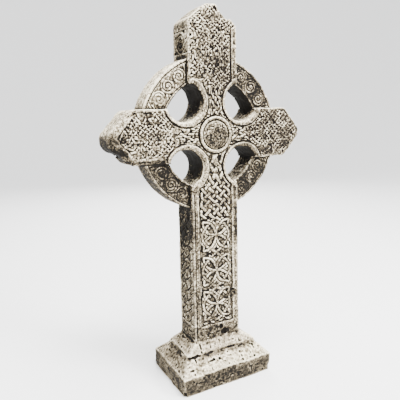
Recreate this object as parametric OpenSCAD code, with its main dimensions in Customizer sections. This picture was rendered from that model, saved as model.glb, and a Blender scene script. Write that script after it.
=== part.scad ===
// Ringed cross memorial, cast in one piece with its stepped plinth.
// The carved front faces -Y, the arms run along X and height along Z.
// The origin is the centre of the underside. All sizes are in millimetres.

/* [Overall] */
// Height from the underside to the tip of the top arm
total_h = 600; // [520:1:760]
// Thickness of the cross, from front face to back face
cross_t = 53; // [43:0.5:66]

/* [Plinth] */
// Width of the plinth block, left to right
plinth_w = 166; // [138:1:200]
// Depth of the plinth block, front to back
plinth_d = 118.5; // [98:0.5:144]
// Height of the block's upright side
plinth_side_h = 29.5; // [24:0.5:36]
// Width of the upper step at its foot
step_w = 127.5; // [106:0.5:134]
// Depth of the upper step at its foot
step_d = 74; // [70:0.5:90]
// Height of the slope on the block
lower_slope_h = 19.5; // [16:0.5:24]
// Height of the step's small upright edge
step_edge_h = 4; // [2:0.5:6]
// Height of the slope from the step to the shaft
upper_slope_h = 18; // [14:0.5:22]
// Radius of the worn upright corners
plinth_corner_r = 5; // [2:0.5:10]

/* [Shaft and arms] */
// Width of the shaft at its foot
shaft_foot_w = 85; // [78:0.5:100]
// Width of the shaft and of the top arm at the ring
shaft_w = 83; // [68:0.5:98]
// Height of a side arm, top edge to bottom edge
arm_w = 79.5; // [70:0.5:95]
// Reach of a side arm past the ring, up to its shoulder
arm_past_ring = 15; // [10:0.5:24]
// Reach of the top arm past the ring, up to its shoulder
top_past_ring = 47.5; // [38:0.5:60]
// Length of the gable that ends a side arm
side_gable_l = 31.5; // [24:0.5:40]
// Width of the blunt tip of a side arm
side_tip_w = 10; // [4:0.5:16]
// Length of the gable that ends the top arm
top_gable_l = 24; // [18:0.5:32]
// Width of the blunt tip of the top arm
top_tip_w = 20; // [10:0.5:28]
// Bevel along the shaft's upright edges
shaft_bevel = 3; // [1:0.25:5]

/* [Ring] */
// Outer radius of the ring
ring_r = 121; // [110:0.5:146]
// Width of the ring, from its inner edge to its outer edge
ring_band = 35; // [28:0.5:42]
// Thickness of the ring, front to back
ring_t = 38; // [30:0.5:46]
// Radius of the hollow cut into each armpit
armpit_r = 29.5; // [24:0.5:36]
// Width left between two armpit hollows, beside the boss
neck_w = 41; // [34:0.5:50]

/* [Carving] */
// Depth of the sunk panels
panel_sink = 1.6; // [0.8:0.1:3]
// Plain border round the arms and armpits
border_w = 8.5; // [6:0.5:11]
// Plain border beside the sunk panels on the narrow sides
side_border_w = 5; // [3:0.5:9]
// Plain length of side between the top arm's side panel and its shoulder
side_cap_l = 14; // [6:0.5:20]
// Plain border down each side of the shaft's front
shaft_border_w = 13.5; // [10:0.5:17]
// Plain length of shaft between the plinth and its front panel
plain_foot_l = 24; // [16:0.5:32]
// Radius of the boss's outer ring
boss_r = 28.5; // [24:0.5:32]
// Height that the boss stands proud
boss_rise = 4; // [2:0.25:6]
// Radius of the boss's domed centre
dome_r = 20.5; // [16:0.5:22]
// Number of medallions on the front of the shaft
medallion_n = 3; // [1:1:4]
// Spacing of the medallions
medallion_pitch = 59; // [54:0.5:64]
// Outer radius of a medallion
medallion_r = 26.5; // [22:0.5:27]
// Plain gap below the lowest medallion
medallion_gap = 7; // [2:0.5:10]
// Width of each leaf loop in a medallion
leaf_w = 15; // [12:0.5:18]
// Width of a carved strand
strand_w = 4.2; // [3:0.1:6]
// Spacing of the plaited strands above the medallions
plait_pitch = 12; // [9:0.5:16]
// Slant of the plaited strands from the upright
plait_angle = 38; // [25:1:50]
// Raised edge along each side of the ring's carved band
ring_edge_w = 5; // [3:0.5:8]
// Radius of a spiral boss on the ring
spiral_r = 10.5; // [8:0.5:11]
// Angle along the ring from one spiral boss to the next
spiral_step = 13; // [12:0.5:18]
// Number of spiral bosses in each quarter of the ring
spiral_n = 3; // [1:1:3]

/* [Hidden] */
// Overrun that lets a cut pass cleanly out of a face
past = 1;
// Depth that a raised piece reaches into what carries it
rooted = 2;
plinth_top = plinth_side_h + lower_slope_h + step_edge_h + upper_slope_h;
top_shoulder = ring_r + top_past_ring;
side_shoulder = ring_r + arm_past_ring;
cross_z = total_h - top_shoulder - top_gable_l;
ring_in = ring_r - ring_band;
armpit_at = neck_w / 2 + armpit_r;
panel_foot_z = plinth_top + plain_foot_l;
first_medallion_z = panel_foot_z + medallion_gap + medallion_r;
plait_foot_z = first_medallion_z + (medallion_n - 0.5) * medallion_pitch;

// Outline of an arm along +X from the cross's centre, with its edge drawn in by inset
function arm_points(width, shoulder, gable, tip_w, inset) =
    let (drop = (width - tip_w) / 2, slant = norm([gable, drop]))
    let (nx = drop / slant, ny = gable / slant)
    let (reach = nx * shoulder + ny * width / 2 - inset)
    let (half = width / 2 - inset, tip_x = shoulder + gable - inset)
    let (corner_x = (reach - ny * half) / nx, tip_half = (reach - nx * tip_x) / ny)
    tip_half > 0.2
        ? [[0, half], [corner_x, half], [tip_x, tip_half], [tip_x, -tip_half], [corner_x, -half], [0, -half]]
        : [[0, half], [corner_x, half], [reach / nx, 0], [corner_x, -half], [0, -half]];

// Front view of the cross about its own centre, with its edge drawn in by inset
module cross_outline(inset, shaft_inset, foot_z) {
    difference() {
        union() {
            for (side = [0, 1]) mirror([side, 0])
                polygon(arm_points(arm_w, side_shoulder, side_gable_l, side_tip_w, inset));
            rotate(90) polygon(arm_points(shaft_w, top_shoulder, top_gable_l, top_tip_w, inset));
            polygon([
                [-shaft_foot_w / 2 + shaft_inset, foot_z - cross_z],
                [shaft_foot_w / 2 - shaft_inset, foot_z - cross_z],
                [shaft_w / 2 - shaft_inset, 0],
                [-shaft_w / 2 + shaft_inset, 0]
            ]);
        }
        armpits(inset);
    }
}

// The four armpit hollows, which stop at the ring's inner edge
module armpits(inset) {
    intersection() {
        circle(ring_in + inset, $fn = 96);
        for (sx = [-1, 1], sy = [-1, 1])
            translate([sx * armpit_at, sy * armpit_at]) circle(armpit_r + inset, $fn = 64);
    }
}

// Stands a front view up at the cross's centre, between two distances from the middle plane
module stand_up(y_near, y_far) {
    translate([0, -y_near, cross_z]) rotate([90, 0, 0])
        linear_extrude(y_far - y_near) children();
}

// Plinth outline seen along one axis: half widths at the block, the step and the shaft
module plinth_profile(block, step, shaft) {
    step_z = plinth_side_h + lower_slope_h;
    polygon([
        [-block, 0], [block, 0],
        [block, plinth_side_h], [step, step_z],
        [step, step_z + step_edge_h], [shaft, plinth_top],
        [-shaft, plinth_top], [-step, step_z + step_edge_h],
        [-step, step_z], [-block, plinth_side_h]
    ]);
}

// Plan of the plinth block with its worn corners
module plinth_plan() {
    for (flat = [[plinth_w - 2 * plinth_corner_r, plinth_d], [plinth_w, plinth_d - 2 * plinth_corner_r]])
        square(flat, center = true);
    for (sx = [-1, 1], sy = [-1, 1])
        translate([sx * (plinth_w / 2 - plinth_corner_r), sy * (plinth_d / 2 - plinth_corner_r)])
            circle(plinth_corner_r, $fn = 32);
}

module plinth() {
    intersection() {
        rotate([90, 0, 0]) linear_extrude(plinth_d, center = true)
            plinth_profile(plinth_w / 2, step_w / 2, shaft_foot_w / 2);
        rotate([90, 0, 90]) linear_extrude(plinth_w, center = true)
            plinth_profile(plinth_d / 2, step_d / 2, cross_t / 2);
        linear_extrude(plinth_top) plinth_plan();
    }
}

// Bevels along the shaft's four upright edges, from the plinth to the ring
module shaft_bevels() {
    bevel_h = cross_z - ring_r - plinth_top;
    for (sx = [-1, 1], sy = [-1, 1])
        translate([sx * shaft_w / 2, sy * cross_t / 2, plinth_top])
            rotate(45) translate([-shaft_bevel, -shaft_bevel, 0] * sqrt(0.5))
                cube([shaft_bevel, shaft_bevel, bevel_h] + [1, 1, 0] * shaft_bevel * 0.4142);
}

// Panel left between the plain borders of the whole front, without the boss
module front_panel() {
    difference() {
        cross_outline(border_w, shaft_border_w, panel_foot_z);
        circle(boss_r + strand_w / 2, $fn = 64);
    }
}

// Leaf shape along +X, pointed at both ends: the overlap of two circles
module leaf(length, width) {
    bow_r = (length * length / 4 + width * width / 4) / width;
    translate([length / 2, 0]) intersection() {
        translate([0, bow_r - width / 2]) circle(bow_r, $fn = 64);
        translate([0, width / 2 - bow_r]) circle(bow_r, $fn = 64);
    }
}

// One medallion: a ring with four hollow leaf loops that meet at its centre
module medallion() {
    loop_strand = strand_w * 0.7;
    difference() {
        circle(medallion_r, $fn = 48);
        circle(medallion_r - strand_w, $fn = 48);
    }
    for (turn = [45:90:315]) rotate(turn) difference() {
        leaf(medallion_r - strand_w / 2, leaf_w);
        translate([loop_strand * 1.5, 0])
            leaf(medallion_r - strand_w / 2 - loop_strand * 3, leaf_w - loop_strand * 2);
    }
}

// Slanted strands that cross each other, over a width and up to a height
module plait(width, height) {
    reach = height + width;
    across = plait_pitch * cos(plait_angle);
    for (slant = [-1, 1], k = [-ceil(reach / across / 2):ceil(reach / across / 2)])
        translate([0, height / 2]) rotate(slant * (90 - plait_angle))
            translate([0, k * across]) square([reach, strand_w * 0.8], center = true);
}

// Strand work that stays at face level on the front of the shaft
module shaft_strands() {
    for (k = [0:medallion_n - 1])
        translate([0, first_medallion_z + k * medallion_pitch - cross_z]) medallion();
    translate([0, plait_foot_z - cross_z])
        intersection() {
            plait(shaft_w, cross_z - plait_foot_z - boss_r);
            translate([-shaft_w / 2, 0]) square([shaft_w, cross_z - plait_foot_z - boss_r]);
        }
}

// Sunk work of one face: panels, with the shaft's strand work left standing
module face_carving(with_strands) {
    stand_up(cross_t / 2 - panel_sink, cross_t / 2 + past)
        difference() {
            front_panel();
            if (with_strands) shaft_strands();
        }
}

// Sunk band round one face of the ring, with its spiral bosses left standing
module ring_carving() {
    stand_up(ring_t / 2 - panel_sink, ring_t / 2 + past)
        difference() {
            circle(ring_r - ring_edge_w, $fn = 96);
            circle(ring_in + ring_edge_w, $fn = 96);
            for (quarter = [0:90:270], k = [0:spiral_n - 1])
                rotate(quarter + 45 + (k - (spiral_n - 1) / 2) * spiral_step)
                    translate([ring_r - ring_band / 2, 0]) spiral_boss();
        }
}

// A spiral boss: a round rim about a round eye
module spiral_boss() {
    difference() {
        circle(spiral_r, $fn = 32);
        circle(spiral_r - strand_w / 2, $fn = 32);
    }
    circle(spiral_r / 3, $fn = 32);
}

// Domed boss at the crossing: an outer ring, a groove and a low dome
module boss() {
    groove_z = boss_rise / 4;
    sphere_r = (dome_r * dome_r + boss_rise * boss_rise) / (2 * boss_rise);
    rim_in = dome_r + strand_w / 2;
    translate([0, -cross_t / 2 + panel_sink, cross_z]) rotate([90, 0, 0]) {
        translate([0, 0, -rooted]) cylinder(h = rooted + panel_sink, r = boss_r, $fn = 64);
        rotate_extrude($fn = 64) polygon([
            [rim_in, 0], [boss_r, 0], [boss_r, panel_sink + boss_rise / 2],
            [boss_r - 1.5, panel_sink + boss_rise], [rim_in + 1.5, panel_sink + boss_rise], [rim_in, groove_z]
        ]);
        intersection() {
            translate([0, 0, panel_sink + boss_rise - sphere_r]) sphere(sphere_r, $fn = 96);
            cylinder(h = panel_sink + boss_rise + past, r = dome_r, $fn = 64);
        }
    }
}

// Sunk panel on each narrow side of the shaft and of the top arm
module side_panels() {
    panel_d = cross_t - 2 * side_border_w;
    shaft_h = cross_z - ring_r - side_border_w - panel_foot_z;
    arm_h = top_past_ring - side_border_w - side_cap_l;
    for (sx = [-1, 1]) {
        translate([sx * (shaft_w / 2 + past), 0, panel_foot_z + shaft_h / 2])
            cube([2 * (panel_sink + past), panel_d, shaft_h], center = true);
        translate([sx * (shaft_w / 2 + past), 0, cross_z + ring_r + side_border_w + arm_h / 2])
            cube([2 * (panel_sink + past), panel_d, arm_h], center = true);
    }
}

module ringed_cross() {
    color("#b3aa98") {
        difference() {
            union() {
                plinth();
                stand_up(-cross_t / 2, cross_t / 2) cross_outline(0, 0, plinth_top - rooted);
                stand_up(-ring_t / 2, ring_t / 2) difference() {
                    circle(ring_r, $fn = 128);
                    circle(ring_in, $fn = 128);
                }
            }
            shaft_bevels();
            side_panels();
            face_carving(true);
            rotate(180) face_carving(false);
            ring_carving();
            rotate(180) ring_carving();
        }
        boss();
        rotate(180) boss();
    }
}

ringed_cross();
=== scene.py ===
"""Looks of the ringed cross memorial: carved and weathered mesh, stone, floor, lights and camera."""
import math

import bmesh
import bpy
import numpy as np
import openvdb
from mathutils import Matrix, Vector


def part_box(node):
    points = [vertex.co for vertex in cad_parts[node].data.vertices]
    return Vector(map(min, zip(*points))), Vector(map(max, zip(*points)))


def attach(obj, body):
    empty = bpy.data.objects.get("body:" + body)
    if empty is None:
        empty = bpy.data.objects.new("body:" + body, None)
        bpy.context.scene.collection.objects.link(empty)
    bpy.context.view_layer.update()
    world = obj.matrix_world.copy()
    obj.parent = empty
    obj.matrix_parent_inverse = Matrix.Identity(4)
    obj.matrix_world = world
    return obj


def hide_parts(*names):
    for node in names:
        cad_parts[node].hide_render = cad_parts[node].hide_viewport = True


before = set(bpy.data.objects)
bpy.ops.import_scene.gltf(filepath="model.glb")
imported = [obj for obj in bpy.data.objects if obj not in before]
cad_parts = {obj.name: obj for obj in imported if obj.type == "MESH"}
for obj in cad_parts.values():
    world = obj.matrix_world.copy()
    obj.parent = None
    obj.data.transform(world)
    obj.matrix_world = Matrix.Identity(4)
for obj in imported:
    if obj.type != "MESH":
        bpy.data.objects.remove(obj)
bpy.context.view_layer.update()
node_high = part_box("ringed_cross")[1]

# ---- Sizes, in millimetres like the CAD; z is up and -y is the carved front ----
MM = 0.001
TOTAL_H = node_high.z / MM
ARM_TIP = node_high.x / MM
# The plinth is 166 wide where the arms are 335 across
PLINTH_W = 2 * ARM_TIP * 166 / 335
PLINTH_D = 2 * node_high.y / MM
PLINTH_SIDE_H = 29.5
PLINTH_SHIFT = 2.0
PLINTH_CORNER_R = 2.5
PLINTH_EDGE_R = 1.5
STEP_W = 127.5
STEP_D = 74
STEP_Z = 49
STEP_EDGE_H = 4
PLINTH_TOP = 71
SHAFT_FOOT_W = 85
SHAFT_W = 83
CROSS_T = 53
ARM_W = 79.5
SIDE_GABLE = 31.5
SIDE_TIP_W = 10
TOP_TIP = 192.5
TOP_GABLE = 24
TOP_TIP_W = 20
RING_R = 121
RING_IN = 86
RING_T = 38
ARMPIT_R = 29.5
ARMPIT_AT = 50
CROSS_Z = TOTAL_H - TOP_TIP

# Carving: borders, grounds (below zero is sunk), grooves and patterns
ARMPIT_BORDER = 9.5
CARVING_SHIFT = 2.5
ARM_BEVEL = 7.5
ARM_RIM = 3.2
TOP_LEFT_RIM = 1.5
TOP_BORDER = 11.5
SHAFT_BORDER = 13.5
ARRIS_ROLL = 4.2
PANEL_FOOT_Z = 95
SIDE_PANEL_HALF = 19
SIDE_CAP = 14
SIDE_STRAND = 5.0
SIDE_DEPTH = 3.0
CURL_R = 17
CURL_PITCH = 6.4
NECK_END = 72
ARM_GROUND = -2.0
SHAFT_GROUND = -2.4
RING_GROUND = -1.6
GROOVE_W = 1.8
GROOVE_DEPTH = 2.6
BOSS_R = 28.5
BOSS_RIM_IN = 23.4
BOSS_MOAT = 2.0
BOSS_GROUND = -2.8
BOSS_SEAT = -0.8
BOSS_RIM_RISE = 3.4
BOSS_GROOVE = -2.4
DOME_R = 21.6
DOME_RISE = 4.4
MEDALLION_Z = (128.5, 187.5, 246.5)
MEDALLION_PITCH = 59
LEAF_L = 34
LEAF_HALF = 7.4
SWING = 25.2
ROUNDEL_AT = 138
ROUNDEL_WORN_FROM = math.radians(225)
SPIRAL_R = 10.8
SPIRAL_STEP = math.radians(13)
SPIRAL_PITCH = 4.6

# The grid that the casting's distances are worked out on, its margin and how far distances are kept
VOXEL = 0.72
TRIANGLES = 198000
PAD = 4.0
SHELL = 3.2

# Cells each way before the noise repeats itself
LATTICE = 32

# How far round each point the stone's material looks for edges, hollows and sheltered places, which it
# paints paler with wear and highlights or darker with painted shade
FINE_REACH = 2.0
MIDDLE_REACH = 8
BROAD_REACH = 22

# The stone's colour from black to bare pale stone, and what moves it from one to the other: dirt and
# wear, together with painted shade in recesses, hollows and sheltered places, painted highlights on
# edges and painted light on what faces up
STONE_RAMP = (
    (0.0, (0.005, 0.004, 0.0028)),
    (0.22, (0.028, 0.0223, 0.0144)),
    (0.42, (0.117, 0.093, 0.059)),
    (0.6, (0.228, 0.188, 0.126)),
    (0.8, (0.47, 0.404, 0.288)),
    (1.0, (0.86, 0.77, 0.585)),
)
TONE_START = 0.43
TONE_WEIGHTS_WITH_PAINTED_LIGHT = (
    # Worn edges, made paler also as a painted highlight
    ("edge", 0.85),
    # Painted light from above: paler facing up, darker facing down
    ("facing", 0.3),
    # Painted shade in recesses, with the dirt there, in hollows and in sheltered places
    ("recess_shade_and_grime", -2.3),
    ("hollow", -0.28),
    ("shelter_shade", -0.18),
    # Stains, together with painted shade on the openings' walls, under overhangs, in holes and on faces
    # turned from the light
    ("shade", -0.72),
)

# Camera, in metres, degrees and millimetres; lights: name, place, target, size and power
CAMERA_AT = (-0.351, -0.624, 0.436)
CAMERA_YAW = 28.36
CAMERA_PITCH = -10.71
CAMERA_ROLL = -1.31
CAMERA_LENS = 39.74
CAMERA_SENSOR = 36
LIGHTS = (
    ("overhead", (0.1, -0.5, 2.1), (0, 0, 0.2), 1.0, 155),
    ("key_right", (1.3, -1.6, 1.5), (0, 0, 0.35), 0.7, 95),
    ("fill_left", (-1.7, -1.1, 0.9), (0, 0, 0.3), 1.2, 6),
    ("rim_back", (0.7, 1.6, 1.2), (0, 0, 0.35), 0.8, 44),
)


# ---- Small helpers on arrays ----
def smooth(low, high, value):
    """0 below low, 1 above high, with a soft step between."""
    t = np.clip((value - low) / (high - low), 0, 1)
    return t * t * (3 - 2 * t)


def soft_min(a, b, blend):
    """Union of two distances with a fillet of about the blend size."""
    h = np.clip(0.5 + 0.5 * (b - a) / blend, 0, 1)
    return b + (a - b) * h - blend * h * (1 - h)


def soft_max(a, b, blend):
    """Overlap of two distances, its edge rounded by about the blend size."""
    return -soft_min(-a, -b, blend)


def round_top(distance, half_width):
    """Rounded ridge: 1 on the centre line, 0 from half_width outwards."""
    t = np.clip(distance / half_width, 0, 1)
    return np.sqrt(1 - t * t)


def from_line(turns, pitch):
    """Distance from the nearest of a row of lines a pitch apart, one halfway through each turn."""
    return np.abs(np.mod(turns, 1) - 0.5) * pitch


def noise(x, y, z, size, seed):
    """Smooth random field in -1..1 with bumps about size across, the same on every run."""
    lattice = np.random.default_rng(seed).uniform(-1, 1, (LATTICE,) * 3).astype(np.float32)
    result = 0
    cells = []
    for value in (x, y, z):
        scaled = np.asarray(value, np.float32) / size + 500
        whole = np.floor(scaled)
        part = scaled - whole
        cells.append((whole.astype(np.int64), part * part * (3 - 2 * part)))
    (ix, fx), (iy, fy), (iz, fz) = cells
    for dx, dy, dz in np.ndindex(2, 2, 2):
        weight = (fx if dx else 1 - fx) * (fy if dy else 1 - fy) * (fz if dz else 1 - fz)
        corner = lattice[(ix + dx) % LATTICE, (iy + dy) % LATTICE, (iz + dz) % LATTICE]
        result = result + weight * corner
    return result


def flat_noise(x, z, size, seed, side=0):
    """The same field on an upright plane; side 1, the front, gives other values than side 0."""
    return noise(x, x * 0 + side, z, size, seed)


# ---- Outlines, seen from the front, with x and z from the centre of the crossing ----
def arm_outline(along, across, width, tip, gable, tip_w, worn=0):
    """Distance outside an arm, from inside the crossing to its blunt gable, with its hips worn back."""
    drop = (width - tip_w) / 2
    slant = math.hypot(gable, drop)
    side = np.abs(across) - width / 2
    hip = (drop * (along - tip + gable) + gable * side) / slant + worn
    root = -along - 20
    return soft_max(np.maximum(side, root), soft_max(hip, along - tip, 4), 4)


def top_break(x):
    """How far the right hip of the top arm is broken back, with a small step near its shoulder."""
    return 3.0 * smooth(2, 9, x) + 3.6 * smooth(5, 11, x) * smooth(30.5, 28, x)


def shaft_half(z):
    """Half width of the shaft, which tapers from its foot to the crossing."""
    rise = np.clip((z + CROSS_Z - PLINTH_TOP) / (CROSS_Z - PLINTH_TOP), 0, 1)
    return (SHAFT_FOOT_W + (SHAFT_W - SHAFT_FOOT_W) * rise) / 2


def armpit_outline(x, z):
    """Distance outside the four armpit hollows, which stop at the ring's inner edge."""
    hollow = np.hypot(np.abs(x) - ARMPIT_AT, np.abs(z) - ARMPIT_AT) - ARMPIT_R
    return np.maximum(hollow, np.hypot(x, z) - RING_IN)


def cross_outline(x, z):
    """Distance outside the cross without its ring; the left arm's worn tip is a little swollen."""
    swell = -4.5 * smooth(16, 4, np.hypot(x + ARM_TIP - 5, z + 15))
    side_arms = arm_outline(np.abs(x), z, ARM_W, ARM_TIP, SIDE_GABLE, SIDE_TIP_W, swell)
    top_arm = arm_outline(z, x, SHAFT_W, TOP_TIP, TOP_GABLE, TOP_TIP_W, top_break(x))
    shaft = np.maximum(np.abs(x) - shaft_half(z), z)
    solid = np.minimum.reduce([side_arms, top_arm, shaft])
    return np.maximum(solid, -armpit_outline(x, z))


def ring_outline(x, z):
    """Distance outside the ring."""
    middle = (RING_R + RING_IN) / 2
    return np.abs(np.hypot(x, z) - middle) - (RING_R - RING_IN) / 2


# ---- Strand work ----
def knotwork(x, z, unit, strand, turn_back):
    """Celtic knotwork on a square grid: 0 on the ground, up to 1 on a strand.
    Strands run along both diagonals and cross over and under by turns. Where turn_back gives 1 they
    turn back above and below the crossing, and where it gives 2 they turn back on each side of it."""
    p, q = x / unit, z / unit
    s0 = 2 * np.floor((p + q) / 2) + 1
    t0 = 2 * np.floor((p - q) / 2) + 1
    i, j = np.round((s0 + t0) / 2), np.round((s0 - t0) / 2)
    a, b = p - i, q - j
    rising = np.abs(a - b) * unit * math.sqrt(0.5)
    falling = np.abs(a + b) * unit * math.sqrt(0.5)
    rising_over = np.mod(i, 2) == 0
    over = np.where(rising_over, rising, falling)
    under = np.where(rising_over, falling, rising)
    dip = smooth(strand * 1.0, strand * 1.9, over)
    crossing = np.maximum(round_top(over, strand), 0.86 * round_top(under, strand) * dip)
    flat_turn = np.abs(np.hypot(a, 1 - np.abs(b)) - math.sqrt(0.5)) * unit
    side_turn = np.abs(np.hypot(1 - np.abs(a), b) - math.sqrt(0.5)) * unit
    kind = turn_back(i, j)
    height = np.where(kind == 1, round_top(flat_turn, strand), crossing)
    return np.where(kind == 2, round_top(side_turn, strand), height)


def shaft_turns(i, j):
    """Turn-backs of the shaft's plait: along its two borders and a few inside it."""
    edge = np.abs(i) >= 4
    inner = (np.mod(j, 6) == 3) & (i == 0)
    return np.where(edge, 2, np.where(inner, 1, 0))


def arm_turns(i, j):
    """Turn-backs scattered through the arms' knotwork, which break the plait into knots."""
    kinds = np.random.default_rng(8).choice((0, 1, 2), (16, 16), p=(0.76, 0.12, 0.12))
    return kinds[np.mod(i, 16).astype(int), np.mod(j, 16).astype(int)]


def side_turns(i, j):
    """Turn-backs of the narrow sides' plait: along its two borders only."""
    return np.where(np.abs(i) >= 2, 2, 0)


def medallion(x, z):
    """Four leaf loops that meet in a cross, woven with two strands that swing from border to border.
    Between the leaves lie four nested darts, and each leaf holds a bead."""
    leaf, chain, dart = 1.9, 2.1, 1.5
    along = (np.abs(x) + np.abs(z)) * math.sqrt(0.5)
    across = (np.abs(x) - np.abs(z)) * math.sqrt(0.5)
    past_tip = 9 * smooth(LEAF_L, LEAF_L + 2, along)
    bow = LEAF_HALF * (1 - (2 * along / LEAF_L - 1) ** 2)
    loop = np.abs(np.abs(across) - bow) * 0.86 + past_tip
    nested = np.abs(np.abs(across) - bow - 4.7) * 0.86 + 9 * smooth(LEAF_L - 6, LEAF_L - 3, along)
    phase = math.pi * z / MEDALLION_PITCH
    lean = SWING * math.pi / MEDALLION_PITCH * np.sin(phase)
    swing = np.abs(np.abs(x) - SWING * np.cos(phase)) / np.hypot(1, lean)
    bead = np.hypot(along - LEAF_L * 0.54, across)
    loop_top, swing_top = round_top(loop, leaf), 0.8 * round_top(swing, chain)
    under_loop = smooth(leaf, leaf * 1.8, loop)
    under_swing = smooth(chain, chain * 1.8, swing)
    woven = np.where(across > 0, np.maximum(swing_top, loop_top * under_swing),
                     np.maximum(loop_top, swing_top * under_loop))
    darts = 0.85 * round_top(nested, dart) * under_loop * under_swing
    return np.maximum.reduce([woven, darts, 0.8 * round_top(bead, 1.8)])


def spirals(x, z):
    """Running spirals round the ring, three to a quarter: 0 on the ground, 1 on the ridge."""
    angle = np.arctan2(z, x)
    radius = np.hypot(x, z)
    quarter = np.floor(angle / (math.pi / 2)) * (math.pi / 2) + math.pi / 4
    slot = np.clip(np.round((angle - quarter) / SPIRAL_STEP), -1, 1)
    centre = quarter + slot * SPIRAL_STEP
    middle = (RING_R + RING_IN) / 2
    u = radius * np.cos(angle - centre) - middle
    v = radius * np.sin(angle - centre)
    rho, phi = np.hypot(u, v), np.arctan2(v, u)
    turns = rho / SPIRAL_PITCH - np.where(slot == 0, -1, 1) * phi / (2 * math.pi)
    ridge = round_top(from_line(turns, SPIRAL_PITCH), SPIRAL_PITCH * 0.36)
    ridge = ridge * smooth(SPIRAL_R + 0.6, SPIRAL_R - 0.4, rho)
    eye = round_top(rho, 1.6)
    gap = np.abs(angle - quarter)
    between = np.abs(gap - 0.5 * SPIRAL_STEP) * radius
    dart = round_top(np.hypot(between, np.abs(np.abs(u) - 8.5)), 2.4)
    past_last = smooth(SPIRAL_STEP * 1.5, SPIRAL_STEP * 1.56, gap)
    wave = round_top(from_line(v / SPIRAL_PITCH + u / 9, SPIRAL_PITCH), 1.6)
    return np.maximum.reduce([ridge, eye, 0.8 * dart, 0.8 * past_last * wave])


def groove(distance, width=GROOVE_W):
    """Incised line: 1 along its middle, 0 past its edges."""
    return round_top(np.abs(distance), width)


# ---- Relief of each face, in millimetres above it ----
def boss_relief(r):
    """A rounded rim and, inside a groove, a low dome."""
    dome = DOME_RISE * np.sqrt(np.maximum(1 - (r / (DOME_R * 1.05)) ** 2, 0)) + BOSS_SEAT
    rim_mid = (BOSS_R + BOSS_RIM_IN) / 2
    rim = BOSS_SEAT + BOSS_RIM_RISE * round_top(np.abs(r - rim_mid), (BOSS_R - BOSS_RIM_IN) / 2)
    height = np.where(r < DOME_R, dome, np.where(r < BOSS_RIM_IN, BOSS_GROOVE, rim))
    return np.where(r < BOSS_R, height, BOSS_GROUND)


def roundel(x, z, arm):
    """The left arm's worn roundel: what is left of two rings round a knot, over the arm's knotwork."""
    across, rise = x + ROUNDEL_AT, z + 1
    r, turn = np.hypot(across, rise), np.arctan2(rise, across)
    kept = smooth(-0.2, 0.4, np.cos(turn - ROUNDEL_WORN_FROM)) * (r > 11.5) * (r < 21)
    rings = np.maximum(round_top(np.abs(r - 18.6), 1.8), round_top(np.abs(r - 13.8), 1.7))
    return arm * (1 - kept) + rings * kept


def strand_work(x, z, front):
    """Every carved strand of one face: 0 on the ground, up to 1 on a strand."""
    upright = np.abs(z) > np.abs(x)
    shaft_unit = (SHAFT_W / 2 - SHAFT_BORDER) / 4
    unit, strand = (4.0, 1.5) if front else (5.0, 1.9)
    # The chisel wandered, most of all in the fine work of the arms, so the strands do too
    astray = np.where(z < -ARMPIT_AT, 0.4, 1.0)
    x = x + astray * (2.2 * flat_noise(x, z, 15, 41) + 1.0 * flat_noise(x, z, 5, 43))
    z = z + astray * (2.2 * flat_noise(x, z, 15, 42) + 1.0 * flat_noise(x, z, 5, 44))
    world_z = z + CROSS_Z
    # Through the necks of the crossing the strands draw out lengthwise
    reach, rise, fall = [np.maximum(v, NECK_END - (NECK_END - v) * 0.55) for v in (np.abs(x), z, -z)]
    shaft = knotwork(x, 3 - fall, shaft_unit, 2.35, shaft_turns)
    if front:
        for centre in MEDALLION_Z:
            near = np.abs(world_z - centre) < MEDALLION_PITCH / 2
            shaft = np.where(near, medallion(x, world_z - centre), shaft)
    arm = knotwork(z + np.sign(x) * 3, reach - 2, unit, strand, arm_turns)
    if front:
        arm = roundel(x, z, arm)
    top = knotwork(x + 5, rise - 2, unit, strand, arm_turns)
    return np.where(upright, np.where(z > 0, top, shaft), arm)


def bevelled(x, z):
    """Where the left arm's front edge is worn to a bevel: its lower edge and both its hips."""
    below = smooth(-76, -88, x) * smooth(8, -6, z)
    return np.clip(below + smooth(-128, -138, x), 0, 1)


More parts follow.
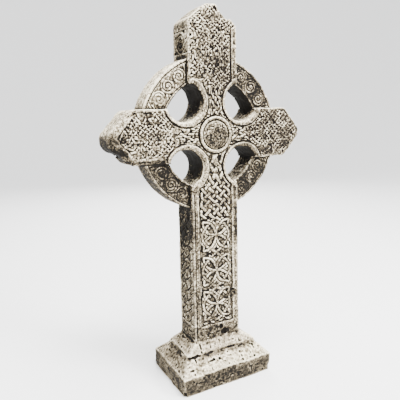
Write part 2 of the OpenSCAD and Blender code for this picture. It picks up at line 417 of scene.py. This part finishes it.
def face_relief(x, z, front):
    """Carving of the front face or, plainer, of the back."""
    edge = -cross_outline(x, z)
    shift = CARVING_SHIFT if front else 0
    armpit = armpit_outline(x - shift, z)
    r = np.hypot(x - shift, z)
    world_z = z + CROSS_Z
    half = np.where(z < 0, shaft_half(z), SHAFT_W / 2)
    side_gap = half - np.abs(x)
    in_shaft = (z < -ARMPIT_AT) & (side_gap > 0)
    in_top = (z > ARMPIT_AT) & (side_gap > 0)
    in_arm = ~in_shaft & ~in_top & (np.abs(x) > ARMPIT_AT)
    bevel = bevelled(x, z) if front else 0 * x

    # How far inside its plain borders each point lies
    left_rim = TOP_LEFT_RIM if front else TOP_BORDER
    top_sides = np.where(x < 0, half + x - left_rim, half - x - TOP_BORDER * smooth(166, 158, z))
    top_inside = np.minimum(top_sides, edge - TOP_LEFT_RIM)
    shaft_inside = np.minimum(side_gap - SHAFT_BORDER, world_z - PANEL_FOOT_Z)
    arm_inside = edge - ARM_RIM - (ARM_BEVEL - 1) * bevel
    inside = np.where(in_shaft, shaft_inside, np.where(in_top, top_inside, arm_inside))
    inside = np.where(in_shaft | in_top | in_arm, inside, 50)
    inside = np.minimum.reduce([inside, armpit - ARMPIT_BORDER, r - BOSS_R - BOSS_MOAT])

    # Strands over a sunk ground; patches of both are worn down, lost or choked
    fine = ~in_shaft & (r > 30)
    ground = np.where(in_shaft | (r < 47), SHAFT_GROUND, ARM_GROUND)
    ground = ground * np.where(in_shaft & (world_z < 222), 0.78, 1)
    choked = 0.65 * fine * smooth(0.12, 0.5, flat_noise(x, z, 8, 36, front))
    ground = ground * (1 + 0.45 * flat_noise(x, z, 13, 31, front)) * (1 - choked)
    lost = 0.85 * fine * smooth(0.2, 0.5, flat_noise(x, z, 5, 35, front))
    worn = (1 - 0.5 * smooth(0.25, 0.75, flat_noise(x, z, 16, 32, front))) * (1 - lost)
    sunk = smooth(0.0, 0.8, inside)
    height = sunk * (ground + (0.15 - ground) * strand_work(x, z, front) * worn)

    # Incised lines, the armpits' rounded borders, and the shaft's rolled arrises, where the front's
    # right one has worn away
    line = groove(inside + 0.9) * smooth(PANEL_FOOT_Z - 4, PANEL_FOOT_Z, world_z)
    armpit_line = smooth(ARMPIT_BORDER + 3, ARMPIT_BORDER, armpit)
    line = line * np.where(in_arm | (in_top & (x < 20)), np.maximum(armpit_line, 0.45), 1)
    height = height - GROOVE_DEPTH * line * (0.8 + 0.5 * flat_noise(x, z, 11, 37, front))
    height = height + 1.3 * round_top(np.abs(armpit - ARMPIT_BORDER / 2), ARMPIT_BORDER / 2)
    roll = (world_z < CROSS_Z - RING_R + 30) & (side_gap < SHAFT_BORDER) & (z < 0)
    roll = roll & ((x < 0) | (not front))
    height = height - 1.3 * np.where(roll, groove(side_gap - ARRIS_ROLL, 1.0), 0)
    height = np.where(r < BOSS_R + BOSS_MOAT, boss_relief(r), height)
    arris = 0.9 * round_top(np.abs(edge - ARM_BEVEL - 1), 1.5)
    return height + bevel * (arris - 0.95 * np.maximum(ARM_BEVEL - edge, 0))


def ring_relief(x, z):
    """Sunk band of spirals between the ring's two narrow borders, more worn below the arms."""
    radius = np.hypot(x, z)
    inside = np.minimum(RING_R - 5 - radius, radius - RING_IN - 5)
    sunk = smooth(0, 0.8, inside)
    worn = 1 - 0.7 * smooth(0.0, 0.6, flat_noise(x, z, 11, 33))
    worn = worn * (1 - np.where(x > 0, 0.5, 0.35) * smooth(5, -5, z))
    ground = RING_GROUND * (1 - 0.35 * smooth(5, -5, x) * smooth(-5, 5, z))
    height = sunk * (ground + (0.1 - ground) * spirals(x, z) * worn)
    return height - 1.6 * groove(inside + 0.8, 1.2)


def side_sink(y, z):
    """Depth cut into the narrow sides of the shaft and of the top arm."""
    in_shaft = (z > PANEL_FOOT_Z) & (z < CROSS_Z - RING_R - 3)
    low, high = CROSS_Z + RING_R + 1, CROSS_Z + TOP_TIP - TOP_GABLE - SIDE_CAP
    in_top = (z > low) & (z < high)
    gap = np.where(in_shaft, np.minimum(z - PANEL_FOOT_Z, 400), np.minimum(z - low, high - z))
    gap = np.minimum(gap, SIDE_PANEL_HALF - np.abs(y))
    gap = np.where(in_shaft | in_top, gap, -9)
    plait = knotwork(y, z, SIDE_PANEL_HALF / 2, SIDE_STRAND, side_turns)
    # The top arm's panel ends in one spiral over the plait
    across, rise = y - 2, z - high + 16
    turns = np.hypot(across, rise) / CURL_PITCH + np.arctan2(rise, across) / (2 * math.pi)
    curl = round_top(from_line(turns, CURL_PITCH), 2.4)
    strands = np.where(in_top & (np.hypot(across, rise) < CURL_R), curl, plait)
    depth = smooth(0, 0.8, gap) * SIDE_DEPTH * (1 - 0.94 * strands)
    return depth + SIDE_DEPTH * groove(gap + 0.8, 1.5)


# ---- Solid, as signed distances on a voxel grid ----
def slab(outline, depth, radius):
    """Upright slab with rounded edges, from its outline and its distance outside each face."""
    a, b = outline + radius, depth + radius
    return np.minimum(np.maximum(a, b), 0) + np.hypot(np.maximum(a, 0), np.maximum(b, 0)) - radius


def frustum(x, y, z, foot, head, low, side_z, top_z):
    """Block from low, upright to side_z and sloping to top_z; foot and head are half sizes."""
    rise = top_z - side_z
    run_x, run_y = foot[0] - head[0], foot[1] - head[1]
    slope_x = (rise * (np.abs(x) - foot[0]) + run_x * (z - side_z)) / math.hypot(rise, run_x)
    slope_y = (rise * (np.abs(y) - foot[1]) + run_y * (z - side_z)) / math.hypot(rise, run_y)
    sides = soft_max(np.abs(x) - foot[0], np.abs(y) - foot[1], PLINTH_CORNER_R)
    slopes = soft_max(slope_x, slope_y, PLINTH_CORNER_R)
    return np.maximum(soft_max(sides, slopes, PLINTH_EDGE_R), np.maximum(z - top_z, low - z))


def plinth(x, y, z):
    """The plinth's block and the sloping foot on its step, their edges wandering by about 1 mm."""
    x = x - PLINTH_SHIFT
    x, y, z = [v + 1.2 * noise(x, x * 0 + y, z, 34, 60 + k) for k, v in enumerate((x, y, z))]
    step = (STEP_W / 2, STEP_D / 2)
    block = frustum(x, y, z, (PLINTH_W / 2, PLINTH_D / 2), step, -9, PLINTH_SIDE_H, STEP_Z)
    foot = (SHAFT_FOOT_W / 2 - 1, CROSS_T / 2 - 1)
    upper = frustum(x, y, z, step, foot, 20, STEP_Z + STEP_EDGE_H, PLINTH_TOP + 1)
    return soft_min(block, upper, 3.2)


# Breaks and holes: centre, half sizes, how ragged each one is and how dark it is painted round about:
# dirt on the worn patches and broken corners, painted shade in the hole, pits and under the arms' tips
CHIPS = (
    # The hole in the shaft's foot and two small pits above it, painted near black with the shade inside
    # them
    ((13.5, -28, 76), (7, 9, 5), 2.6, 1.25),
    ((7, -27, 85), (3.6, 5, 4.4), 1.6, 1.1),
    ((10.5, -26.5, 95), (1.8, 3, 2), 0.4, 1.0),
    # Worn patches on the shaft's right and left borders
    ((27, -28.5, 140), (13, 4, 7), 2.2, 0.3),
    ((31, -27, 147), (4, 4, 2.2), 1.0, 1.0),
    ((17, -27, 135), (3.2, 4, 2.2), 1.0, 1.0),
    ((-34, -29.5, 140), (6, 3.4, 7), 1.6, 0.3),
    # The broken undersides of the side arms' tips, painted dark with the shade beneath them, the left
    # more than the right
    ((-152, 12, 380), (9, 14, 4), 3.0, 0.9),
    ((-142, -16, 370), (9, 16, 4.5), 2.5, 0.9),
    ((139, -14, 364), (10, 24, 4.5), 2.5, 0.2),
    # The plinth's two lower front corners
    ((87, -61, 4), (7, 7, 8), 2.0, 0.3),
    ((-84, -60, 2), (9, 7, 9), 2.0, 0.3),
    # Pits along the plinth's step, painted dark with the shade inside them
    ((-62, -37.5, 50), (5, 4, 3), 1.5, 0.6),
    ((-50, -38, 51), (7, 3, 2.4), 1.5, 0.7),
    ((-22, -38, 51), (5, 2.6, 2), 1.3, 0.7),
    ((18, -38, 51), (8, 2.6, 2), 1.4, 0.7),
)

# Darker patches: centre, half sizes and strength; where a group says so they are painted shade, on faces
# turned from the light or under overhangs, otherwise weather stains
STAINS_AND_PAINTED_SHADE = (
    # Painted shade on the shaft's sides under the ring's overhang, deeper on the left, away from the
    # light
    ((-42, 0, 262), (14, 40, 46), 1.15),
    ((42, 0, 262), (12, 40, 46), 0.95),
    # Painted shade on the top arm's sides and its left slope, deeper on the left, away from the light
    ((-45, 4, 540), (10, 30, 20), 0.7),
    ((-42, 4, 568), (8, 26, 8), 0.3),
    ((-28, 4, 590), (20, 26, 14), 0.3),
    ((45, 4, 542), (10, 30, 16), 0.45),
    # Painted shade on the left arm's tip, which is turned from the light, and on the ring below both
    # side arms
    ((-162, 4, 388), (26, 36, 22), 1.0),
    ((-156, -20, 394), (20, 16, 26), 0.55),
    ((-100, 0, 336), (40, 30, 26), 0.45),
    ((96, 0, 338), (30, 30, 24), 0.3),
    # Stains on the worn patches and round the hole on the shaft, and painted shadow under the upper arc
    # of the lower right opening, by the right arm's neck
    ((-35, -27, 140), (10, 6, 13), 0.45),
    ((26, -27, 140), (17, 6, 11), 0.5),
    ((14, -28, 78), (13, 6, 12), 0.5),
    ((58, -24, 392), (30, 10, 13), 0.55),
    # Painted shade on the shaft's sides, deeper on the left, and on the plinth's left slopes, all turned
    # from the light; weather stains on the shaft's left arris and its foot
    ((-44, 0, 180), (5, 34, 140), 0.5),
    ((-78, 0, 40), (26, 52, 20), 0.36),
    ((-52, 0, 60), (16, 34, 14), 0.3),
    ((0, -27, 86), (44, 6, 16), 0.2),
    ((-39, -27, 180), (11, 7, 130), 0.36),
    ((44, 0, 180), (5, 34, 140), 0.2),
    # The top arm's foot, the neck under the boss, the boss, the right arm and three quarters of the ring
    ((14, -27, 503), (26, 6, 30), 0.35),
    ((12, -27, 330), (12, 5, 10), 0.5),
    ((5, -29, CROSS_Z - 7), (26, 8, 24), 0.42),
    ((0, -29, CROSS_Z), (32, 8, 32), 0.2),
    ((110, -27, 405), (64, 6, 54), 0.4),
    ((76, -18, 490), (48, 14, 48), 0.5),
    ((76, -18, 330), (48, 14, 48), 0.4),
    ((-76, -18, 330), (48, 14, 48), 0.5),
)

# Patches made paler than the rest: centre, half sizes and strength
PALE = (
    # The ring's upper left quarter and the plinth's two front slopes
    ((-76, -18, 490), (48, 16, 48), 0.24),
    ((10, -50, 42), (76, 14, 14), 0.12),
    ((10, -34, 62), (60, 12, 10), 0.12),
)


def reach_into(place, centre, half_sizes):
    """Distance-like measure from an ellipsoid's centre: 1 on its surface."""
    parts = [((p - c) / h) ** 2 for p, c, h in zip(place, centre, half_sizes)]
    return np.sqrt(parts[0] + parts[1] + parts[2])


def patch(place, centre, half_sizes):
    """1 in the middle of an ellipsoid patch, fading to 0 just outside it."""
    return smooth(1.2, 0.45, reach_into(place, centre, half_sizes))


def build_distance():
    """Signed distance to the whole casting, positive outside, with the grid's origin."""
    half_x, half_y = ARM_TIP + PAD, PLINTH_D / 2 + PAD
    xs = np.arange(-half_x, half_x, VOXEL, dtype=np.float32)
    ys = np.arange(-half_y, half_y, VOXEL, dtype=np.float32)
    zs = np.arange(-PAD, TOTAL_H + PAD, VOXEL, dtype=np.float32)
    x, z = np.meshgrid(xs, zs, indexing="ij")
    up = z - CROSS_Z
    # Edges wander a little and are worn round, most of all at the armpits and the top arm's left hip
    wobble = 0.55 * flat_noise(x, z, 31, 3) + 0.35 * flat_noise(x, z, 9, 4)
    outline = cross_outline(x, up) + wobble
    band = ring_outline(x, up) + 0.6 * wobble
    reliefs = {True: face_relief(x, up, True), False: face_relief(x, up, False)}
    ring_carving = ring_relief(x, up)
    rounded = np.where((x < 0) & (up < 0), 1.0, 3.2)
    wear = 1.4 + 0.9 * flat_noise(x, z, 23, 5) + rounded * smooth(14, 3, armpit_outline(x, up))
    wear = wear + 3.5 * smooth(156, 172, up) * smooth(10, -8, x)
    beside_shaft = (z > PANEL_FOOT_Z - 20) & (z < CROSS_Z + TOP_TIP - TOP_GABLE)
    volume = np.empty((len(xs), len(ys), len(zs)), np.float32)
    for k, y in enumerate(ys):
        cross = slab(outline, abs(y) - CROSS_T / 2 - reliefs[bool(y < 0)], wear)
        ring = slab(band, abs(y) - RING_T / 2 - ring_carving, 1.6)
        solid = soft_min(cross, ring, 1.2)
        if abs(y) < CROSS_T / 2 + 1:
            sink = side_sink(np.float32(y), zs)[None, :]
            cut = np.abs(x) - shaft_half(up) + sink
            solid = np.where(beside_shaft & (sink > 0.01), np.maximum(solid, cut), solid)
        # Above the plinth's reach the cross stands alone, so the rest of the grid is left out
        low = zs < PLINTH_TOP + 12
        solid[:, low] = soft_min(solid[:, low], plinth(x[:, low], y, z[:, low]), 0.8)
        shell = np.abs(solid) < SHELL
        place = (x[shell], np.full(np.count_nonzero(shell), y, np.float32), z[shell])
        solid[shell] = weathered(solid[shell], place)
        volume[:, k, :] = np.clip(np.maximum(solid, -z), -SHELL, SHELL)
    return volume, np.array([xs[0], ys[0], zs[0]])


def weathered(distance, place):
    """Adds the stone's roughness, pits and breaks to distances near its surface."""
    px, py, pz = place
    plain = smooth(PLINTH_TOP + 20, PLINTH_TOP - 5, pz)
    in_dome = np.hypot(px, pz - CROSS_Z) < DOME_R + 1
    dome = np.where(in_dome & (np.abs(py) > CROSS_T / 2 - 3), 1.0, 0.0)
    rough = 0.30 * noise(px, py, pz, 3.4, 11) + 0.30 * noise(px, py, pz, 7.5, 12)
    rough = rough + (0.30 + 0.35 * plain) * noise(px, py, pz, 17, 13)
    pits = smooth(0.35, 0.75, noise(px, py, pz, 4.6, 14))
    pocks = smooth(0.0, 0.5, noise(px, py, pz, 2.2, 15))
    value = distance + rough + pits * (0.55 + 0.5 * plain) + 0.9 * dome * pocks
    for centre, half_sizes, ragged, _ in CHIPS:
        hole = (reach_into(place, centre, half_sizes) - 1) * min(half_sizes)
        near = hole < 8
        if near.any():
            hole[near] += ragged * noise(px[near], py[near], pz[near], 5, 21)
            value = np.where(near, soft_max(value, -hole, 1.2), value)
    return value


def blurred(volume, reach):
    """Mean over a cube of 2 * reach + 1 cells, made by running sums."""
    size = 2 * reach + 1
    for axis in range(3):
        pad = [(0, 0)] * 3
        pad[axis] = (reach + 1, reach)
        total = np.cumsum(np.pad(volume, pad, mode="edge"), axis=axis, dtype=np.float32)
        count = total.shape[axis]
        high = np.take(total, range(size, count), axis=axis)
        low = np.take(total, range(0, count - size), axis=axis)
        volume = (high - low) / size
    return volume


def sample(volume, points, origin, pitch):
    """Values of a grid at points, by trilinear interpolation."""
    place = (points - origin) / pitch
    whole = np.clip(np.floor(place).astype(int), 0, np.array(volume.shape) - 2)
    part = np.clip(place - whole, 0, 1)
    result = 0
    for corner in np.ndindex(2, 2, 2):
        weight = np.prod(np.where(corner, part, 1 - part), axis=1)
        index = whole + np.array(corner)
        result = result + weight * volume[index[:, 0], index[:, 1], index[:, 2]]
    return result


def mesh_from(points, faces, name):
    """A mesh from arrays of points and of faces, all with the same number of corners."""
    mesh = bpy.data.meshes.new(name)
    count, corners = faces.shape
    mesh.vertices.add(len(points))
    mesh.vertices.foreach_set("co", points.astype(np.float32).ravel())
    mesh.loops.add(count * corners)
    mesh.loops.foreach_set("vertex_index", faces.astype(np.int32).ravel())
    mesh.polygons.add(count)
    mesh.polygons.foreach_set("loop_start", np.arange(0, count * corners, corners, dtype=np.int32))
    mesh.update(calc_edges=True)
    mesh.validate()
    return mesh


def build_casting():
    """The casting's mesh, with its weathering written to the vertices."""
    volume, origin = build_distance()
    grid = openvdb.FloatGrid(SHELL)
    grid.copyFromArray(volume, tolerance=0.0)
    points, quads = grid.convertToQuads(0.0)
    points = (points * VOXEL + origin) * MM
    mesh = mesh_from(points, quads, "ringed_cross_stone")
    casting = bpy.data.objects.new("ringed_cross_stone", mesh)
    bpy.context.scene.collection.objects.link(casting)
    thin = casting.modifiers.new("thin", "DECIMATE")
    thin.ratio = TRIANGLES / (2 * len(quads))
    thin.use_collapse_triangulate = True
    shown = casting.evaluated_get(bpy.context.evaluated_depsgraph_get())
    final = bpy.data.meshes.new_from_object(shown)
    casting.modifiers.clear()
    casting.data = final
    final.shade_smooth()
    final.name = "ringed_cross_stone"
    weather(final, volume, origin)
    return casting


def fullness(volume, points, origin):
    """How full of stone the space round each point is, looking near, further and furthest."""
    filled = np.clip(0.5 - volume / VOXEL, 0, 1).astype(np.float32)
    fine_reach = round(FINE_REACH / VOXEL - 0.5)
    fine = sample(blurred(filled, fine_reach), points, origin, VOXEL)
    # The two broader looks work on a grid of half as many cells each way
    halves = [n // 2 for n in filled.shape]
    even = filled[:2 * halves[0], :2 * halves[1], :2 * halves[2]]
    pairs = even.reshape(halves[0], 2, halves[1], 2, halves[2], 2).mean((1, 3, 5))
    pair_size = VOXEL * 2
    middle, broad = [
        sample(blurred(pairs, round(reach / pair_size)), points, origin + VOXEL / 2, pair_size)
        for reach in (MIDDLE_REACH, BROAD_REACH)
    ]
    return fine, middle, broad


def dirt_and_painted_shade(place, facing, fine):
    """How deep each point lies in the carving's hollows, and how dark it is painted: stains and soiling,
    together with painted shade on the openings' walls, under overhangs, in holes and pits, and on faces
    turned from the light.
    """
    x, y, z = place
    up = z - CROSS_Z
    wall = smooth(5, 1, np.abs(armpit_outline(x, up))) * (np.abs(y) < CROSS_T / 2 - 1.5)
    ring_wall = smooth(5, 1, np.abs(np.hypot(x, up) - RING_IN)) * (np.abs(y) < RING_T / 2 - 1)
    # The walls of the openings are painted near black, dirt together with painted shade: deepest midway
    # between the faces, lighter near the faces and on their upward-facing floors, and reaching further
    # out on parts that face down
    depth = np.maximum(smooth(3, 19, CROSS_T / 2 - np.abs(y)), smooth(0.2, -0.3, facing))
    depth = depth * 0.6 + 0.4 + 0.25 * noise(x, y, z, 12, 52) + 0.3 * noise(x, y, z, 3.5, 55)
    shade = 1.05 * np.maximum(wall, ring_wall) * smooth(0.95, 0.3, facing) * depth
    mottle = 0.85 + 0.7 * noise(x, y, z, 9, 53)
    # Darker patches: stains, and painted shade where the list says so
    for centre, half_sizes, strength in STAINS_AND_PAINTED_SHADE:
        shade = np.maximum(shade, strength * patch(place, centre, half_sizes) * mottle)
    # Painted shade in the holes and pits and under the arms' broken tips, dirt on the worn patches and
    # broken corners
    for centre, half_sizes, _, dark in CHIPS:
        shade = np.maximum(shade, dark * smooth(1.25, 0.95, reach_into(place, centre, half_sizes)))
    # Painted shade: the plinth's upright faces darker than its slopes, as where light falls from above
    plinth_upright_shade = smooth(0.5, 0.2, np.abs(facing)) * (z < PLINTH_SIDE_H + 1)
    shade = np.maximum(shade, 0.36 * plinth_upright_shade * mottle)
    # Painted shade deep in recesses, together with the dirt there, from how full of stone the space
    # nearby is, broken up by noise
    recess_shade_and_grime = np.clip((fine - 0.5) * 3.4, 0, 1) * np.clip(1.0 + 0.8 * noise(x, y, z, 8, 54), 0.6, 1.35)
    # Some of the carving's gaps painted near black and others left paler: dirt together with painted
    # shade
    grime_and_gap_shade = smooth(0.05, 0.5, noise(x, y, z, 7, 51)) * np.clip(recess_shade_and_grime * 2, 0, 1)
    shade = np.maximum(shade, 0.95 * grime_and_gap_shade)
    for centre, half_sizes, strength in PALE:
        shade = shade - strength * patch(place, centre, half_sizes)
    return recess_shade_and_grime, shade


def weather(mesh, volume, origin):
    """Writes what the stone's material needs: how deep in recesses each point lies, worn edges with
    painted highlights, painted shade in hollows and sheltered places, stains with painted shade, and
    which way each point faces, for painted light from above.
    """
    count = len(mesh.vertices)
    flat = np.empty(count * 3, np.float32)
    mesh.vertices.foreach_get("co", flat)
    points = flat.reshape(-1, 3) / MM
    normals = np.empty(count * 3, np.float32)
    mesh.vertex_normals.foreach_get("vector", normals)
    facing = normals.reshape(-1, 3)[:, 2]
    fine, middle, broad = fullness(volume, points, origin)
    recess_shade_and_grime, shade = dirt_and_painted_shade(points.T, facing, fine)
    fields = {
        # Painted shade and dirt in recesses
        "recess_shade_and_grime": recess_shade_and_grime,
        # Convex edges painted paler: worn stone together with painted highlight
        "edge": np.clip((0.5 - fine) * 3.4, 0, 0.5),
        # Painted shade in hollows and in broadly sheltered places
        "hollow": np.clip((middle - 0.5) * 4, 0, 1),
        "shelter_shade": np.clip((broad - 0.46) * 4, 0, 1),
        # Stains, together with painted shade on the openings' walls, under overhangs, in holes and on
        # faces turned from the light
        "shade": shade,
        # Painted light: paler where the surface faces up, darker where it faces down, as if lit from
        # above
        "facing": np.where(facing > 0, smooth(0.1, 0.65, facing), facing),
        "speckle": 1 - 0.52 * smooth(PLINTH_TOP + 4, PLINTH_TOP - 6, points[:, 2]),
    }
    for name, values in fields.items():
        layer = mesh.attributes.new(name, "FLOAT", "POINT")
        layer.data.foreach_set("value", values.astype(np.float32))


# ---- Stone ----
def stone_material():
    """Cast stone: pale where it is worn and washed, with painted highlights on edges and painted light
    on what faces up; dark with soiling and painted shade in the carving and under ledges.
    """
    material = bpy.data.materials.new("cast_stone")
    material.use_nodes = True
    nodes, links = material.node_tree.nodes, material.node_tree.links
    shader = nodes["Principled BSDF"]
    shader.inputs["Specular IOR Level"].default_value = 0.14
    place = nodes.new("ShaderNodeTexCoord").outputs["Object"]

    def texture(scale, detail, roughness):
        node = nodes.new("ShaderNodeTexNoise")
        node.inputs["Scale"].default_value = scale
        node.inputs["Detail"].default_value = detail
        node.inputs["Roughness"].default_value = roughness
        links.new(place, node.inputs["Vector"])
        return node.outputs["Fac"]

    def remap(value, low, high, to_low=0.0, to_high=1.0):
        node = nodes.new("ShaderNodeMapRange")
        node.interpolation_type = "SMOOTHSTEP"
        sockets = ("From Min", "From Max", "To Min", "To Max")
        for socket, number in zip(sockets, (low, high, to_low, to_high)):
            node.inputs[socket].default_value = number
        links.new(value, node.inputs["Value"])
        return node.outputs["Result"]

    def maths(kind, *values):
        node = nodes.new("ShaderNodeMath")
        node.operation = kind
        for socket, value in zip(node.inputs, values):
            if isinstance(value, (int, float)):
                socket.default_value = value
            else:
                links.new(value, socket)
        return node.outputs[0]

    def tint(colour, factor, over, kind="MIX"):
        node = nodes.new("ShaderNodeMix")
        node.data_type = "RGBA"
        node.blend_type = kind
        links.new(factor, node.inputs["Factor"])
        for socket, value in ((node.inputs[6], colour), (node.inputs[7], over)):
            if isinstance(value, tuple):
                socket.default_value = (*value, 1)
            else:
                links.new(value, socket)
        return node.outputs[2]

    def mask(name):
        node = nodes.new("ShaderNodeAttribute")
        node.attribute_name = name
        return node.outputs["Fac"]

    def weighted(start, *terms):
        """Start plus the sum of each term's value, counted from its middle, times its weight."""
        total = start - sum(middle * weight for _, middle, weight in terms)
        for value, middle, weight in terms:
            total = maths("MULTIPLY_ADD", value, weight, total)
        return total

    broad = texture(14, 4, 0.6)
    blotch = texture(75, 4, 0.65)
    grain = texture(400, 2, 0.6)
    fine = texture(1100, 2, 0.6)

    # How pale the stone is painted, from 0 for black to 1 for bare pale stone: its speckle, dirt and
    # wear, together with painted shade in recesses and hollows, painted highlights on edges and painted
    # light on what faces up
    speckle = weighted(0, (broad, 0.5, 0.6), (blotch, 0.5, 0.8), (grain, 0.5, 2.1), (fine, 0.5, 1.2))
    # Wear and dirt from the vertex masks, together with the painted shade, highlights and light from
    # above that they carry
    wear = weighted(TONE_START, *((mask(name), 0, weight) for name, weight in TONE_WEIGHTS_WITH_PAINTED_LIGHT))
    tone_with_painted_light = maths("MULTIPLY_ADD", speckle, mask("speckle"), wear)
    ramp = nodes.new("ShaderNodeValToRGB")
    links.new(tone_with_painted_light, ramp.inputs["Fac"])
    stops = ramp.color_ramp.elements
    stops.remove(stops[0])
    stops[0].position = STONE_RAMP[-1][0]
    stops[0].color = (*STONE_RAMP[-1][1], 1)
    for place_on_ramp, shade in STONE_RAMP[:-1]:
        stops.new(place_on_ramp).color = (*shade, 1)
    # A faint green-grey growth on what faces up
    lichen = maths("MULTIPLY", mask("facing"), remap(broad, 0.5, 0.62, 0, 0.4))
    colour = tint(ramp.outputs["Color"], lichen, (0.95, 1.0, 0.90), "MULTIPLY")
    links.new(colour, shader.inputs["Base Color"])
    links.new(remap(blotch, 0.3, 0.7, 0.82, 0.97), shader.inputs["Roughness"])
    bump = nodes.new("ShaderNodeBump")
    bump.inputs["Strength"].default_value = 0.6
    bump.inputs["Distance"].default_value = 0.0008
    height = maths("ADD", maths("MULTIPLY", grain, 0.7), maths("MULTIPLY", fine, 0.3))
    links.new(height, bump.inputs["Height"])
    links.new(bump.outputs["Normal"], shader.inputs["Normal"])
    return material


# ---- Stage ----
def add_floor():
    """A pale floor that curves up into a low wall all round, like a studio sweep."""
    flat_r, curve_r, wall_h, sides, steps = 2.4, 2.4, 3.0, 96, 14
    profile = [(0.02, 0), (0.6, 0), (flat_r, 0)]
    for k in range(1, steps + 1):
        turn = math.pi / 2 * k / steps
        profile.append((flat_r + curve_r * math.sin(turn), curve_r * (1 - math.cos(turn))))
    profile.append((flat_r + curve_r, wall_h))
    sweep = bmesh.new()
    rings = []
    for radius, height in profile:
        turns = [2 * math.pi * k / sides for k in range(sides)]
        circle = [(radius * math.cos(t), radius * math.sin(t), height) for t in turns]
        rings.append([sweep.verts.new(point) for point in circle])
    for inner, outer in zip(rings, rings[1:]):
        for k in range(sides):
            sweep.faces.new((inner[k - 1], outer[k - 1], outer[k], inner[k]))
    sweep.faces.new(rings[0])
    mesh = bpy.data.meshes.new("floor")
    sweep.to_mesh(mesh)
    sweep.free()
    mesh.shade_smooth()
    floor = bpy.data.objects.new("floor", mesh)
    bpy.context.scene.collection.objects.link(floor)
    material = bpy.data.materials.new("pale_floor")
    material.use_nodes = True
    shader = material.node_tree.nodes["Principled BSDF"]
    shader.inputs["Base Color"].default_value = (0.92, 0.92, 0.915, 1)
    shader.inputs["Roughness"].default_value = 0.8
    floor.data.materials.append(material)


def add_light(name, place, target, size, power):
    """A soft square light that shines at the target."""
    light = bpy.data.lights.new(name, "AREA")
    light.size = size
    light.energy = power
    lamp = bpy.data.objects.new(name, light)
    lamp.location = place
    lamp.rotation_euler = (Vector(target) - Vector(place)).to_track_quat("-Z", "Y").to_euler()
    bpy.context.scene.collection.objects.link(lamp)


def add_world():
    """Even, faintly cool light from all round."""
    world = bpy.data.worlds.new("studio")
    world.use_nodes = True
    world.node_tree.nodes["Background"].inputs["Color"].default_value = (0.97, 0.98, 1.0, 1)
    world.node_tree.nodes["Background"].inputs["Strength"].default_value = 1.3
    bpy.context.scene.world = world


def add_camera():
    """The camera at the photo's angle: to the left of the front and a little above the arms."""
    yaw, pitch, roll = [math.radians(turn) for turn in (CAMERA_YAW, CAMERA_PITCH, CAMERA_ROLL)]
    level = math.cos(pitch)
    forward = Vector((math.sin(yaw) * level, math.cos(yaw) * level, math.sin(pitch)))
    right = Vector((math.cos(yaw), -math.sin(yaw), 0))
    above = right.cross(forward)
    tilted_right = right * math.cos(roll) + above * math.sin(roll)
    tilted_up = above * math.cos(roll) - right * math.sin(roll)
    turn = Matrix((tilted_right, tilted_up, -forward)).transposed().to_4x4()
    camera_data = bpy.data.cameras.new("camera")
    camera_data.sensor_width = CAMERA_SENSOR
    camera_data.lens = CAMERA_LENS
    camera = bpy.data.objects.new("camera", camera_data)
    camera.matrix_world = Matrix.Translation(CAMERA_AT) @ turn
    bpy.context.scene.collection.objects.link(camera)
    bpy.context.scene.camera = camera


casting = build_casting()
casting.data.materials.append(stone_material())
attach(casting, "root")
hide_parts("ringed_cross")

add_floor()
add_world()
for light in LIGHTS:
    add_light(*light)
add_camera()
